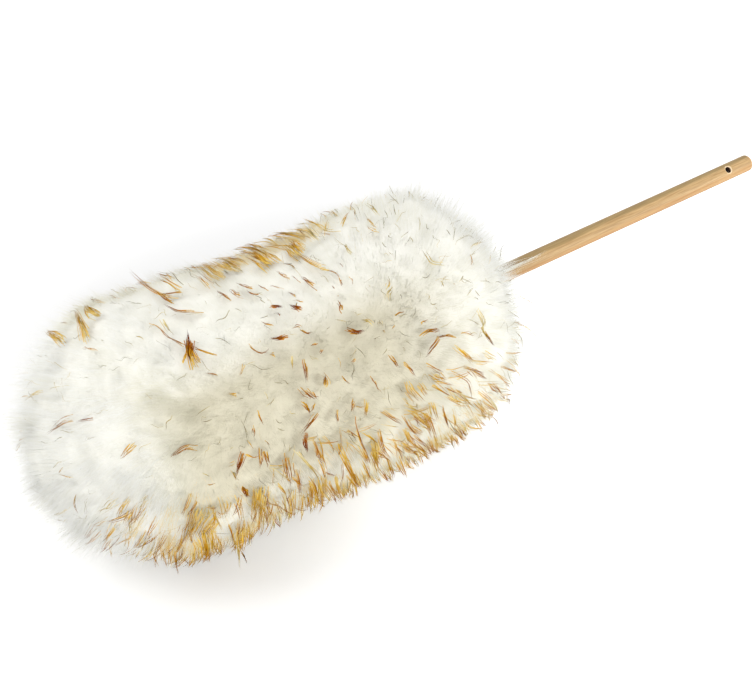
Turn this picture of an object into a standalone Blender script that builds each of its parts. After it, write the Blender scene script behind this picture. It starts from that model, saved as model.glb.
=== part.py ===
"""A lambswool duster, lying on its wool.

The core is one wooden dowel. Its front half carries a strip of sheepskin, wound edge to edge and
tacked at both ends, and a sheepskin disc is tacked over its end grain. The wool of both hides
stands out all round as one head of locks. Everything is turned and wound about the dowel's axis,
which is local Z here, and the empty "duster_axis" lays the whole assembly down along world X.
"""

import math

import bmesh
import bpy
import numpy as np
from mathutils import Vector

# Handle, in metres. Local z is 0 at the dowel's covered end and grows towards the butt.
HANDLE_LENGTH = 0.541
HANDLE_DIAMETER = 0.0127
BUTT_ROUNDING = 0.0016
TIP_CHAMFER = 0.0008
HOLE_DIAMETER = 0.0048
COUNTERSINK_DIAMETER = 0.0066
HOLE_FROM_BUTT = 0.0254
HOLE_ABOVE_LEVEL = math.radians(54)

# Sheepskin
HIDE_THICKNESS = 0.0015
STRIP_WIDTH = 0.0232
STRIP_CROWN = 0.0003
STRIP_TURNS = 9
STRIP_FROM_TIP = 0.001
TURN_GAP = 0.0008
LEAST_TURN_GAP = 0.0004

# Tacks
TACK_LENGTH = 0.0064
TACK_HEAD_DIAMETER = 0.0042
TACK_HEAD_THICKNESS = 0.0007
TACK_SHANK_DIAMETER = 0.0014
TACK_POINT_LENGTH = 0.0015
TACK_FROM_STRIP_END = math.radians(30)
TACK_SPACING = math.radians(80)

# Wool: the outline of its locks' tips
TIP_PILE = 0.071
NECK_PILE = 0.028
HEAD_RADIUS_AT_TIP = 0.0900
HEAD_RADIUS_AT_NECK = 0.0860
TIP_DOME_LENGTH = 0.075
NECK_DOME_LENGTH = 0.050
TIP_DOME_POWER = 1.67
NECK_DOME_POWER = 2.15
AXIS_HEIGHT = 0.080

# Wool: its locks
LOCK_COUNT = 440
LOCK_DEPTH = 0.013
LOCK_SWIRL = 0.006
LOCK_UNEVENNESS = 0.004
LOCK_SCATTER = 0.16
LOCK_SHOULDER_PLACE = 0.55
LOCK_SHOULDER_HEIGHT = 0.62
PRESSED_MARGIN = 0.010

# The clearance between pieces that touch on the real thing
FIT_GAP = 0.0003

# Facets
HANDLE_SIDES = 40
ROUNDING_STEPS = 4
STRIP_SIDES = 24
TACK_SIDES = 14
OUTLINE_STEPS = 400
SCATTER_SEED = 7
UNEVENNESS_SEED = 11

# Sizes that follow
HANDLE_RADIUS = HANDLE_DIAMETER / 2
HIDE_INNER_RADIUS = HANDLE_RADIUS + FIT_GAP
HIDE_OUTER_RADIUS = HIDE_INNER_RADIUS + HIDE_THICKNESS + STRIP_CROWN
STRIP_LEAD = STRIP_WIDTH + TURN_GAP
STRIP_END = STRIP_FROM_TIP + STRIP_WIDTH + STRIP_TURNS * STRIP_LEAD
DISC_INNER = -FIT_GAP
DISC_OUTER = DISC_INNER - HIDE_THICKNESS
HEAD_TIP = DISC_OUTER - TIP_PILE
HEAD_NECK = STRIP_END + NECK_PILE

# The three kinds of point on a lock, and how high each stands between the valleys and the tips
TIP, SHOULDER, VALLEY = range(3)
LOCK_LEVELS = np.array([1.0, LOCK_SHOULDER_HEIGHT, 0.0])


def make_collection(name):
    collection = bpy.data.collections.new(name)
    bpy.context.scene.collection.children.link(collection)
    return collection


def make_material(name, colour, roughness, metallic=0.0):
    material = bpy.data.materials.new(name)
    material.use_nodes = True
    shader = material.node_tree.nodes["Principled BSDF"]
    shader.inputs["Base Color"].default_value = (*colour, 1.0)
    shader.inputs["Roughness"].default_value = roughness
    shader.inputs["Metallic"].default_value = metallic
    return material


def add_object(name, mesh, collection, parent, material=None):
    obj = bpy.data.objects.new(name, mesh)
    collection.objects.link(obj)
    obj.parent = parent
    if material:
        mesh.materials.append(material)
    return obj


def profile_mesh(name, points):
    """An open outline of (radius, height) points in the XZ plane, top to bottom, to be turned."""
    mesh = bpy.data.meshes.new(name)
    edges = [(i, i + 1) for i in range(len(points) - 1)]
    mesh.from_pydata([(radius, 0.0, height) for radius, height in points], edges, [])
    return mesh


def add_screw(obj, sides, turns=1, lead=0.0):
    screw = obj.modifiers.new("Turn", "SCREW")
    screw.axis = "Z"
    screw.angle = math.tau
    screw.iterations = turns
    screw.screw_offset = lead
    screw.steps = sides
    screw.render_steps = sides
    screw.use_merge_vertices = lead == 0.0
    screw.merge_threshold = 0.00001
    screw.use_smooth_shade = True
    return screw


def cut(obj, name, cutters):
    """Takes an object, or every object of a collection, out of obj."""
    boolean = obj.modifiers.new(name, "BOOLEAN")
    boolean.operation = "DIFFERENCE"
    boolean.solver = "EXACT"
    if isinstance(cutters, bpy.types.Collection):
        boolean.operand_type = "COLLECTION"
        boolean.collection = cutters
    else:
        boolean.object = cutters


def turned_cutter(name, points, sides, collection, parent):
    cutter = add_object(name, profile_mesh(name, points), collection, parent)
    add_screw(cutter, sides)
    cutter.hide_render = True
    cutter.display_type = "WIRE"
    return cutter


def handle_outline():
    """The dowel from its rounded butt down to its chamfered end."""
    points = [(0.0, HANDLE_LENGTH)]
    for step in range(ROUNDING_STEPS + 1):
        angle = math.radians(90) * step / ROUNDING_STEPS
        points.append(
            (
                HANDLE_RADIUS - BUTT_ROUNDING * (1 - math.sin(angle)),
                HANDLE_LENGTH - BUTT_ROUNDING * (1 - math.cos(angle)),
            )
        )
    points.append((HANDLE_RADIUS, TIP_CHAMFER))
    points.append((HANDLE_RADIUS - TIP_CHAMFER, 0.0))
    points.append((0.0, 0.0))
    return points


def add_hanging_hole_cutter(collection, parent):
    """A drill through the dowel with a countersink at each face, square to the dowel's axis."""
    drill = HOLE_DIAMETER / 2
    sink = COUNTERSINK_DIAMETER / 2
    beyond = HANDLE_RADIUS
    flare = sink - drill
    points = [
        (0.0, HANDLE_RADIUS + beyond),
        (sink + beyond, HANDLE_RADIUS + beyond),
        (sink, HANDLE_RADIUS),
        (drill, HANDLE_RADIUS - flare),
        (drill, flare - HANDLE_RADIUS),
        (sink, -HANDLE_RADIUS),
        (sink + beyond, -HANDLE_RADIUS - beyond),
        (0.0, -HANDLE_RADIUS - beyond),
    ]
    cutter = turned_cutter("hanging_hole_cutter", points, STRIP_SIDES, collection, parent)
    cutter.location.z = HANDLE_LENGTH - HOLE_FROM_BUTT
    cutter.rotation_mode = "QUATERNION"
    # World up is local -X and the viewer's side is local -Y.
    axis = Vector((-math.sin(HOLE_ABOVE_LEVEL), -math.cos(HOLE_ABOVE_LEVEL), 0.0))
    cutter.rotation_quaternion = axis.to_track_quat("Z", "X")
    return cutter


def add_handle(collection, parent, hole_cutter, tack_cutters):
    wood = make_material("beech", (0.66, 0.46, 0.25), 0.55)
    handle = add_object("handle", profile_mesh("handle", handle_outline()), collection, parent, wood)
    add_screw(handle, HANDLE_SIDES)
    cut(handle, "Hanging hole", hole_cutter)
    cut(handle, "Tack pilots", tack_cutters)
    return handle


def add_hide_strip(collection, parent, tack_cutters, hide):
    """The strip across its width, crowned where the hide is thickest, wound up the dowel."""
    points = [
        (HIDE_INNER_RADIUS, STRIP_FROM_TIP + STRIP_WIDTH),
        (HIDE_INNER_RADIUS + STRIP_CROWN, STRIP_FROM_TIP + STRIP_WIDTH / 2),
        (HIDE_INNER_RADIUS, STRIP_FROM_TIP),
    ]
    strip = add_object("hide_strip", profile_mesh("hide_strip", points), collection, parent, hide)
    add_screw(strip, STRIP_SIDES, STRIP_TURNS, STRIP_LEAD)
    shell = strip.modifiers.new("Hide", "SOLIDIFY")
    shell.thickness = HIDE_THICKNESS
    shell.offset = 1.0
    cut(strip, "Tack holes", tack_cutters)
    return strip


def least_turn_gap(strip):
    """The least distance between one turn's edge and the next turn's, read off the wound mesh."""
    graph = bpy.context.evaluated_depsgraph_get()
    evaluated = strip.evaluated_get(graph)
    mesh = evaluated.to_mesh()
    points = np.array([vertex.co for vertex in mesh.vertices])
    evaluated.to_mesh_clear()
    turn_angle = np.arctan2(points[:, 1], points[:, 0]) % math.tau
    along = points[:, 2] - STRIP_FROM_TIP - STRIP_LEAD * turn_angle / math.tau
    across = along % STRIP_LEAD
    upper = points[np.abs(across - STRIP_WIDTH) < TURN_GAP / 4]
    lower = points[np.abs((across + TURN_GAP / 4) % STRIP_LEAD) < TURN_GAP / 2]
    offsets = upper[:, None, :] - lower[None, :, :]
    return float(np.sqrt((offsets**2).sum(axis=2)).min())


def add_tip_disc(collection, parent, tack_cutters, hide):
    """The sheepskin disc over the end grain, as wide as the wound strip."""
    radius = HIDE_OUTER_RADIUS - FIT_GAP
    edge = HIDE_THICKNESS / 4
    points = [
        (0.0, DISC_INNER),
        (radius - edge, DISC_INNER),
        (radius, DISC_INNER - edge),
        (radius, DISC_OUTER + edge),
        (radius - edge, DISC_OUTER),
        (0.0, DISC_OUTER),
    ]
    disc = add_object("tip_disc", profile_mesh("tip_disc", points), collection, parent, hide)
    add_screw(disc, STRIP_SIDES)
    cut(disc, "Tack hole", tack_cutters)
    return disc


def tack_outline(clearance=0.0, above=0.0):
    """A flat tack, head up. With a clearance it is the room that the tack needs."""
    head = TACK_HEAD_DIAMETER / 2 + clearance
    shank = TACK_SHANK_DIAMETER / 2 + clearance
    underside = -TACK_HEAD_THICKNESS - clearance
    return [
        (0.0, above),
        (head, above),
        (head, underside),
        (shank, underside),
        (shank, TACK_POINT_LENGTH - TACK_LENGTH),
        (0.0, -TACK_LENGTH - 2 * clearance),
    ]


def tack_places():
    """Name, point at the top of the head, and outward direction of each tack."""
    places = []
    head_radius = HIDE_OUTER_RADIUS - FIT_GAP
    first = TACK_FROM_STRIP_END
    last = math.tau * STRIP_TURNS - TACK_FROM_STRIP_END
    wound = [
        ("tip_tack_1", first),
        ("tip_tack_2", first + TACK_SPACING),
        ("neck_tack_1", last - TACK_SPACING),
        ("neck_tack_2", last),
    ]
    for name, angle in wound:
        outward = Vector((math.cos(angle), math.sin(angle), 0.0))
        height = STRIP_FROM_TIP + STRIP_WIDTH / 2 + STRIP_LEAD * angle / math.tau
        places.append((name, outward * head_radius + Vector((0.0, 0.0, height)), outward))
    places.append(("end_tack", Vector((0.0, 0.0, DISC_OUTER)), Vector((0.0, 0.0, -1.0))))
    return places


def place_tack(obj, point, outward):
    obj.location = point
    obj.rotation_mode = "QUATERNION"
    obj.rotation_quaternion = outward.to_track_quat("Z", "X")


def add_tack_cutters(collection, parent):
    for name, point, outward in tack_places():
        outline = tack_outline(FIT_GAP, HIDE_THICKNESS)
        cutter = turned_cutter(f"{name}_room", outline, TACK_SIDES, collection, parent)
        place_tack(cutter, point, outward)


def add_tacks(collection, parent):
    steel = make_material("blued_steel", (0.16, 0.16, 0.17), 0.4, 1.0)
    for name, point, outward in tack_places():
        tack = add_object(name, profile_mesh(name, tack_outline()), collection, parent, steel)
        add_screw(tack, TACK_SIDES)
        place_tack(tack, point, outward)


def head_outline():
    """The head's outline as (height, radius) rows, from the tip's pole to the neck's."""
    quarter = np.linspace(0.0, math.pi / 2, OUTLINE_STEPS)
    tip_shoulder = HEAD_TIP + TIP_DOME_LENGTH
    neck_shoulder = HEAD_NECK - NECK_DOME_LENGTH
    tip_height = tip_shoulder - TIP_DOME_LENGTH * np.cos(quarter) ** (2 / TIP_DOME_POWER)
    tip_radius = HEAD_RADIUS_AT_TIP * np.sin(quarter) ** (2 / TIP_DOME_POWER)
    neck_height = neck_shoulder + NECK_DOME_LENGTH * np.cos(quarter[::-1]) ** (2 / NECK_DOME_POWER)
    neck_radius = HEAD_RADIUS_AT_NECK * np.sin(quarter[::-1]) ** (2 / NECK_DOME_POWER)
    barrel_height = np.linspace(tip_shoulder, neck_shoulder, OUTLINE_STEPS)[1:-1]
    barrel_radius = np.linspace(HEAD_RADIUS_AT_TIP, HEAD_RADIUS_AT_NECK, OUTLINE_STEPS)[1:-1]
    height = np.concatenate([tip_height, barrel_height, neck_height])
    radius = np.concatenate([tip_radius, barrel_radius, neck_radius])
    return np.column_stack([height, radius])


class HeadSurface:
    """The head's outline, by its pitch: distance along it, counted in radii, from its middle.

    The pitch turns the head into a sphere with no angle changed, so that what lies side by side
    on the sphere also does on the head.
    """

    def __init__(self):
        outline = head_outline()
        lengths = np.linalg.norm(np.diff(outline, axis=0), axis=1)
        radii = (outline[1:, 1] + outline[:-1, 1]) / 2
        area = np.concatenate([[0.0], np.cumsum(math.tau * radii * lengths)])
        pitch = np.concatenate([[0.0], np.cumsum(lengths / radii)])
        tangent = np.gradient(outline, axis=0)
        tangent /= np.linalg.norm(tangent, axis=1)[:, None]
        self.area = area
        self.pitch = pitch - pitch[-1] / 2
        self.rows = np.column_stack([outline, -tangent[:, 1], tangent[:, 0]])

    def pitch_at(self, area_share):
        return np.interp(area_share * self.area[-1], self.area, self.pitch)

    def at(self, pitch):
        """Height, radius, and the outward normal's part along each."""
        return [np.interp(pitch, self.pitch, column) for column in self.rows.T]


def on_sphere(pitch, angle):
    ring = 1 / math.cosh(pitch)
    return Vector((ring * math.cos(angle), ring * math.sin(angle), math.tanh(pitch)))


def lock_lattice(surface):
    """A mesh on the unit sphere in which each lock is a fan: its tip, a shoulder and a valley.

    The tips are scattered about a golden-angle spiral, which keeps the locks of about one size.
    Their hull joins each tip to its neighbours, a point in the middle of each triangle is a
    valley, and turning the hull's edges makes them run from valley to valley, round the locks.
    """
    golden_angle = math.pi * (3 - math.sqrt(5))
    spacing = math.sqrt(surface.area[-1] / LOCK_COUNT)
    scatter = np.random.default_rng(SCATTER_SEED).normal(0.0, LOCK_SCATTER, (LOCK_COUNT, 2))
    mesh = bmesh.new()
    kind = mesh.verts.layers.int.new("kind")
    for index in range(LOCK_COUNT):
        pitch = surface.pitch_at((index + 0.5) / LOCK_COUNT)
        radius = surface.at(pitch)[1]
        step = scatter[index] * spacing / radius
        tip = mesh.verts.new(on_sphere(pitch + step[0], golden_angle * index + step[1]))
        tip[kind] = TIP
    bmesh.ops.convex_hull(mesh, input=mesh.verts[:])
    between_tips = mesh.edges[:]
    for valley in bmesh.ops.poke(mesh, faces=mesh.faces[:])["verts"]:
        valley[kind] = VALLEY
    bmesh.ops.rotate_edges(mesh, edges=between_tips)
    spokes = [edge for edge in mesh.edges if edge.verts[0][kind] != edge.verts[1][kind]]
    halved = bmesh.ops.subdivide_edges(mesh, edges=spokes, cuts=1)["geom_inner"]
    shoulders = [item for item in halved if isinstance(item, bmesh.types.BMVert)]
    for shoulder in shoulders:
        shoulder[kind] = SHOULDER
    for shoulder in shoulders:
        around = [edge.other_vert(shoulder) for edge in shoulder.link_edges]
        tip = next(other for other in around if other[kind] == TIP)
        valley = next(other for other in around if other[kind] == VALLEY)
        shoulder.co = tip.co.lerp(valley.co, LOCK_SHOULDER_PLACE)
    return mesh, kind


def press_on_floor(out, down_angle):
    """How far from the axis the wool may reach, and how much of its relief is left there."""
    reach = out * np.cos(down_angle)
    room = np.clip((AXIS_HEIGHT - reach) / PRESSED_MARGIN, 0.0, 1.0)
    relief = room * room * (3 - 2 * room)
    pressed = reach > AXIS_HEIGHT
    limit = np.where(pressed, AXIS_HEIGHT / np.where(pressed, np.cos(down_angle), 1.0), out)
    return limit, relief


def head_mesh():
    """The lattice of locks laid over the head's outline, and flat where the wool is pressed."""
    surface = HeadSurface()
    lattice, kind_layer = lock_lattice(surface)
    unit = np.array([vertex.co.normalized() for vertex in lattice.verts])
    kind = np.array([vertex[kind_layer] for vertex in lattice.verts])
    level = LOCK_LEVELS[kind]
    height, radius, normal_along, normal_out = surface.at(np.arctanh(unit[:, 2]))
    angle = np.arctan2(unit[:, 1], unit[:, 0])

    # World down is local +X, so the angle from down is the angle itself.
    radius, relief = press_on_floor(radius, angle)
    uneven = np.random.default_rng(UNEVENNESS_SEED).uniform(-LOCK_UNEVENNESS, 0.0, len(level))
    sunk = ((level - 1) * LOCK_DEPTH + np.where(kind == TIP, uneven, 0.0)) * relief
    height = height + sunk * normal_along
    radius = radius + sunk * normal_out
    around_room = np.clip(radius / HEAD_RADIUS_AT_NECK, 0.0, 1.0)
    swirl = LOCK_SWIRL * level**2 * relief * around_room / np.maximum(radius, LOCK_DEPTH)
    angle = angle + swirl

    for vertex, z, out, turn in zip(lattice.verts, height, radius, angle):
        vertex.co = (out * math.cos(turn), out * math.sin(turn), z)
    bmesh.ops.recalc_face_normals(lattice, faces=lattice.faces[:])
    mesh = bpy.data.meshes.new("fleece")
    lattice.to_mesh(mesh)
    lattice.free()
    return mesh


def bore_outline():
    """The room inside the wool: close round the bare dowel, wider round the hide and its disc."""
    dowel = HANDLE_RADIUS + FIT_GAP
    hide = HIDE_OUTER_RADIUS + FIT_GAP
    shoulder = STRIP_END + FIT_GAP
    return [
        (0.0, HEAD_NECK + NECK_PILE),
        (dowel, HEAD_NECK + NECK_PILE),
        (dowel, shoulder),
        (hide, shoulder),
        (hide, DISC_OUTER - FIT_GAP),
        (0.0, DISC_OUTER - FIT_GAP),
    ]


def add_fleece(collection, parent, bore_cutter):
    wool = make_material("cream_wool", (0.86, 0.84, 0.76), 0.95)
    fleece = add_object("fleece", head_mesh(), collection, parent, wool)
    cut(fleece, "Bore", bore_cutter)
    return fleece


def lay_down(axis, fleece):
    """Lays the assembly along world X on its pressed wool, with its middle over the origin."""
    wool_reach = min(vertex.co.z for vertex in fleece.data.vertices)
    axis.rotation_euler.y = math.radians(90)
    axis.location = (-(wool_reach + HANDLE_LENGTH) / 2, 0.0, AXIS_HEIGHT)


def main():
    for obj in list(bpy.data.objects):
        bpy.data.objects.remove(obj)
    parts = make_collection("lambswool_duster")
    cutters = make_collection("cutters")
    tack_cutters = bpy.data.collections.new("tack_cutters")
    cutters.children.link(tack_cutters)
    axis = bpy.data.objects.new("duster_axis", None)
    parts.objects.link(axis)

    add_tack_cutters(tack_cutters, axis)
    hole_cutter = add_hanging_hole_cutter(cutters, axis)
    bore_cutter = turned_cutter("bore_cutter", bore_outline(), HANDLE_SIDES, cutters, axis)

    hide = make_material("tanned_hide", (0.72, 0.60, 0.44), 0.8)
    add_handle(parts, axis, hole_cutter, tack_cutters)
    strip = add_hide_strip(parts, axis, tack_cutters, hide)
    add_tip_disc(parts, axis, tack_cutters, hide)
    add_tacks(parts, axis)
    fleece = add_fleece(parts, axis, bore_cutter)
    lay_down(axis, fleece)

    bpy.context.view_layer.update()
    gap = least_turn_gap(strip)
    print(f"least gap between the strip's turns: {gap * 1000:.2f} mm")
    if gap < LEAST_TURN_GAP:
        print("the strip's turns lie closer than they should")


main()
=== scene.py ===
"""Looks of the lambswool duster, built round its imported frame.

The wool is a dense cream nap of fine fibres, combed over a soft body of under-wool. Clumps of
amber-tipped guard hairs lie over it, thickest where the wool hangs over the floor. Every fibre
is a narrow tapering ribbon, and its colour comes from its UV map alone: u picks the fibre's tint
and v runs from its root to its tip.
"""

import math
from collections import namedtuple

import bpy
import numpy as np
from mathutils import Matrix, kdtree

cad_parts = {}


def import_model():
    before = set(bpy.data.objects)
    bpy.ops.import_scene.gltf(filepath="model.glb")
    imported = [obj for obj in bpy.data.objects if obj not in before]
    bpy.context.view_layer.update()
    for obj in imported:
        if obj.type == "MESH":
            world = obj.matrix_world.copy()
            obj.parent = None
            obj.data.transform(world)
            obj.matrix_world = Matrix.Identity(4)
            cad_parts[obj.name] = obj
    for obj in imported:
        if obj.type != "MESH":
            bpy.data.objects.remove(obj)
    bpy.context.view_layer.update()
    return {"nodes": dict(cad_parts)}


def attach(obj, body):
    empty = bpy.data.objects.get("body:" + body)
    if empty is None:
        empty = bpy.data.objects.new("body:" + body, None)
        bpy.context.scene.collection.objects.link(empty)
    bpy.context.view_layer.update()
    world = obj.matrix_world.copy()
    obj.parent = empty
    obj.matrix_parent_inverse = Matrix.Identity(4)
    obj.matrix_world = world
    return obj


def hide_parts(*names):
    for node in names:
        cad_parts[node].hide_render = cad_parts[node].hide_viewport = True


# Camera, fitted to the photograph's handle
LENS_MM = 75
SENSOR_MM = 36
IMAGE_WIDTH = 756
IMAGE_HEIGHT = 698
CAMERA_PLACE = (-0.5462, -0.6683, 0.7281)
CAMERA_TURN = math.radians(36.54)
CAMERA_DIP = math.radians(38.59)
EYE = np.array(CAMERA_PLACE)
PIXELS_PER_SLOPE = LENS_MM / SENSOR_MM * IMAGE_WIDTH

# Handle, in metres
AXIS_HEIGHT = 0.080
BUTT_X = 0.30496
HOLE_CENTRE = (0.27956, 0.0, AXIS_HEIGHT)
HOLE_ANGLE = math.radians(54)
HOLE_RADIUS = 0.0024
COUNTERSINK_RADIUS = 0.0033

# Wool head: its outline where the nap ends. It sags below the handle's axis, its tip lifts, and
# its lower side is tucked in towards the tip.
SAG = 0.0010
TIP_LIFT = 0.0065
TIP_X = -0.3045
NECK_X = 0.0340
TIP_DOME_LENGTH = 0.075
NECK_DOME_LENGTH = 0.057
TIP_DOME_POWER = 1.67
NECK_DOME_POWER = 2.10
RADIUS_AT_TIP = 0.0868
RADIUS_AT_NECK = 0.0845
SWELLING = 0.0025
SWELLING_X = -0.200
SWELLING_SPREAD = 0.045
TUCK = 0.13
TUCK_ANGLE = math.radians(232)
BILLOW_HEIGHT = 0.0010
TUFT_HEIGHT = 0.0002
OUTLINE_STEPS = 400
FLOOR_SOFTNESS = 0.006

# The hollow that the wound hide and the dowel fill, and how far fibres keep off them
HIDE_BORE_RADIUS = 0.00875
DOWEL_BORE_RADIUS = 0.00665
BORE_END_X = -0.2381
BORE_STEP_X = 0.0045
FIBRE_CLEARANCE = 0.0005

# A golden crest along the head's top: where the nap is thinner and long golden hairs stand out
CREST_ANGLE = math.radians(60)
CREST_START = (-0.165, -0.138)
CREST_END = (-0.050, -0.080)
CREST_SPREAD = math.radians(17)
CREST_DENT = 0.0045

# The wool parts along this angle round the axis, and leans away from it and towards the ends, in
# broad sweeps and small swirls
PARTING_ANGLE = math.radians(128)
LEAN_FROM_PARTING = 0.007
LEAN_TO_NECK = 0.007
LEAN_TO_TIP = 0.009
LEAN_BELOW = 0.005
SWEEP_SIZE = 0.0022
SWIRL_SIZE = 0.0007

# Under-wool: how deep it lies under the nap's outline, and its rings and their points
BODY_DEPTH = 0.0032
BODY_RINGS = 150
BODY_AROUND = 220

# Nap
NAP_ROOT_DEPTH = 0.018
NAP_FIBRES = 240000
NAP_PIECES = 12
NAP_STEPS = 5
NAP_WIDTH = 0.00017
NAP_MESS = 0.0027

# Locks that the nap gathers in: their number, how unevenly they rise and lean, and how strongly
# the fibres close up to them
LOCK_COUNT = 3000
LOCK_RISE = 0.0005
LOCK_LEAN = 0.0010
MOST_PULL = 0.45

# How far the nap's shading looks up from its surface, as light does that passes through loose wool
NAP_LIFT = 0.22

# The nap grows longer in soft lobes at the tip, by up to this much
LOBE_LENGTH = 0.0075

# White wisps lie on the dowel, one of them long: the angle that it lies at, and how far it reaches
WISP_HAIRS = 2600
LONG_WISP_HAIRS = 26
LONG_WISP_ANGLE = math.radians(128)
LONG_WISP_END = 0.098

# Guard hairs
GUARD_STEPS = 7
GUARD_WIDTH = 0.00040
SPINE_KNOTS = 10
SPINE_DEPTH = 0.004
FRINGE_TRIES = 3000
STREWN_TRIES = 1500
SINGLE_TRIES = 1300

# Clumps placed by pixels: the grid that finds the wool under them, the least slope at which its
# plane is used, and the most that they run away from the camera, as a share of their seen length
GRID_ALONG = 320
GRID_ROUND = 900
LEAST_SLOPE = 0.35
MOST_SLANT = 1.1

# The fibre map: how much of u a fibre's width takes up, and how far v keeps off the map's edges
TINT_BAND = 1 / 96
MAP_MARGIN = 0.01

# The sky's strength as light. What is seen of it is white.
SKY_LIGHT = 0.56

Lamp = namedtuple("Lamp", "name place target size power")

LAMPS = [
    Lamp("top", (0.7, 0.6, 2.0), (0, 0, 0), (2.0, 1.6), 16),
    Lamp("far_side", (-1.3, 0.7, 1.5), (-0.2, 0, 0.05), (1.4, 1.4), 20),
    Lamp("low_neck", (0.9, -1.4, 0.4), (0, 0, 0.04), (1.4, 0.6), 18),
    Lamp("low_tip", (-1.2, -1.1, 0.4), (-0.2, 0, 0.04), (1.0, 0.6), 7.8),
]

# Floor: white, with a soft painted shadow in a patch behind the head
FLOOR_HALF = 4.0
FLOOR_DROP = 0.0002
FLOOR_WHITE = 0.93
SHADOW_PATCH_WHITE = 0.76
SHADOW_PATCH_CENTRE = (-0.06, 0.19, 0.0)
SHADOW_PATCH_SIZE = (0.30, 0.16, 1.0)

# The floor looks this much brighter than it is lit, as on an overexposed white sweep: less below
# the head's tip, where the photograph keeps a shadow, more below its neck, least behind it, and
# enough far off for the horizon to vanish
GLOW_BELOW_TIP = 0.17
GLOW_BELOW_NECK = 0.48
GLOW_BEHIND = 0.03
GLOW_FAR_OFF = 0.46
GLOW_COLOUR = (0.97, 0.985, 1.0, 1.0)

# A clump of guard hairs: its number of hairs, how far they spread from its spine in metres, its
# place among the tints, and how open its tip stays, from 0 for a point to 1 for a brush
Clump = namedtuple("Clump", "hairs spread tint openness")

CLUMPS = {
    "red": Clump(12, 0.0010, 0.96, 0.05),
    "brown": Clump(7, 0.0011, 0.78, 0.2),
    "fine_brown": Clump(3, 0.0005, 0.76, 0.3),
    "amber": Clump(7, 0.0012, 0.66, 0.3),
    "golden": Clump(7, 0.0015, 0.52, 0.4),
    "golden_patch": Clump(26, 0.0034, 0.50, 0.35),
    "straw": Clump(5, 0.0011, 0.30, 0.4),
    "straw_patch": Clump(26, 0.0024, 0.46, 0.05),
    "grey": Clump(1, 0.0003, 0.06, 0.3),
}
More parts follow.
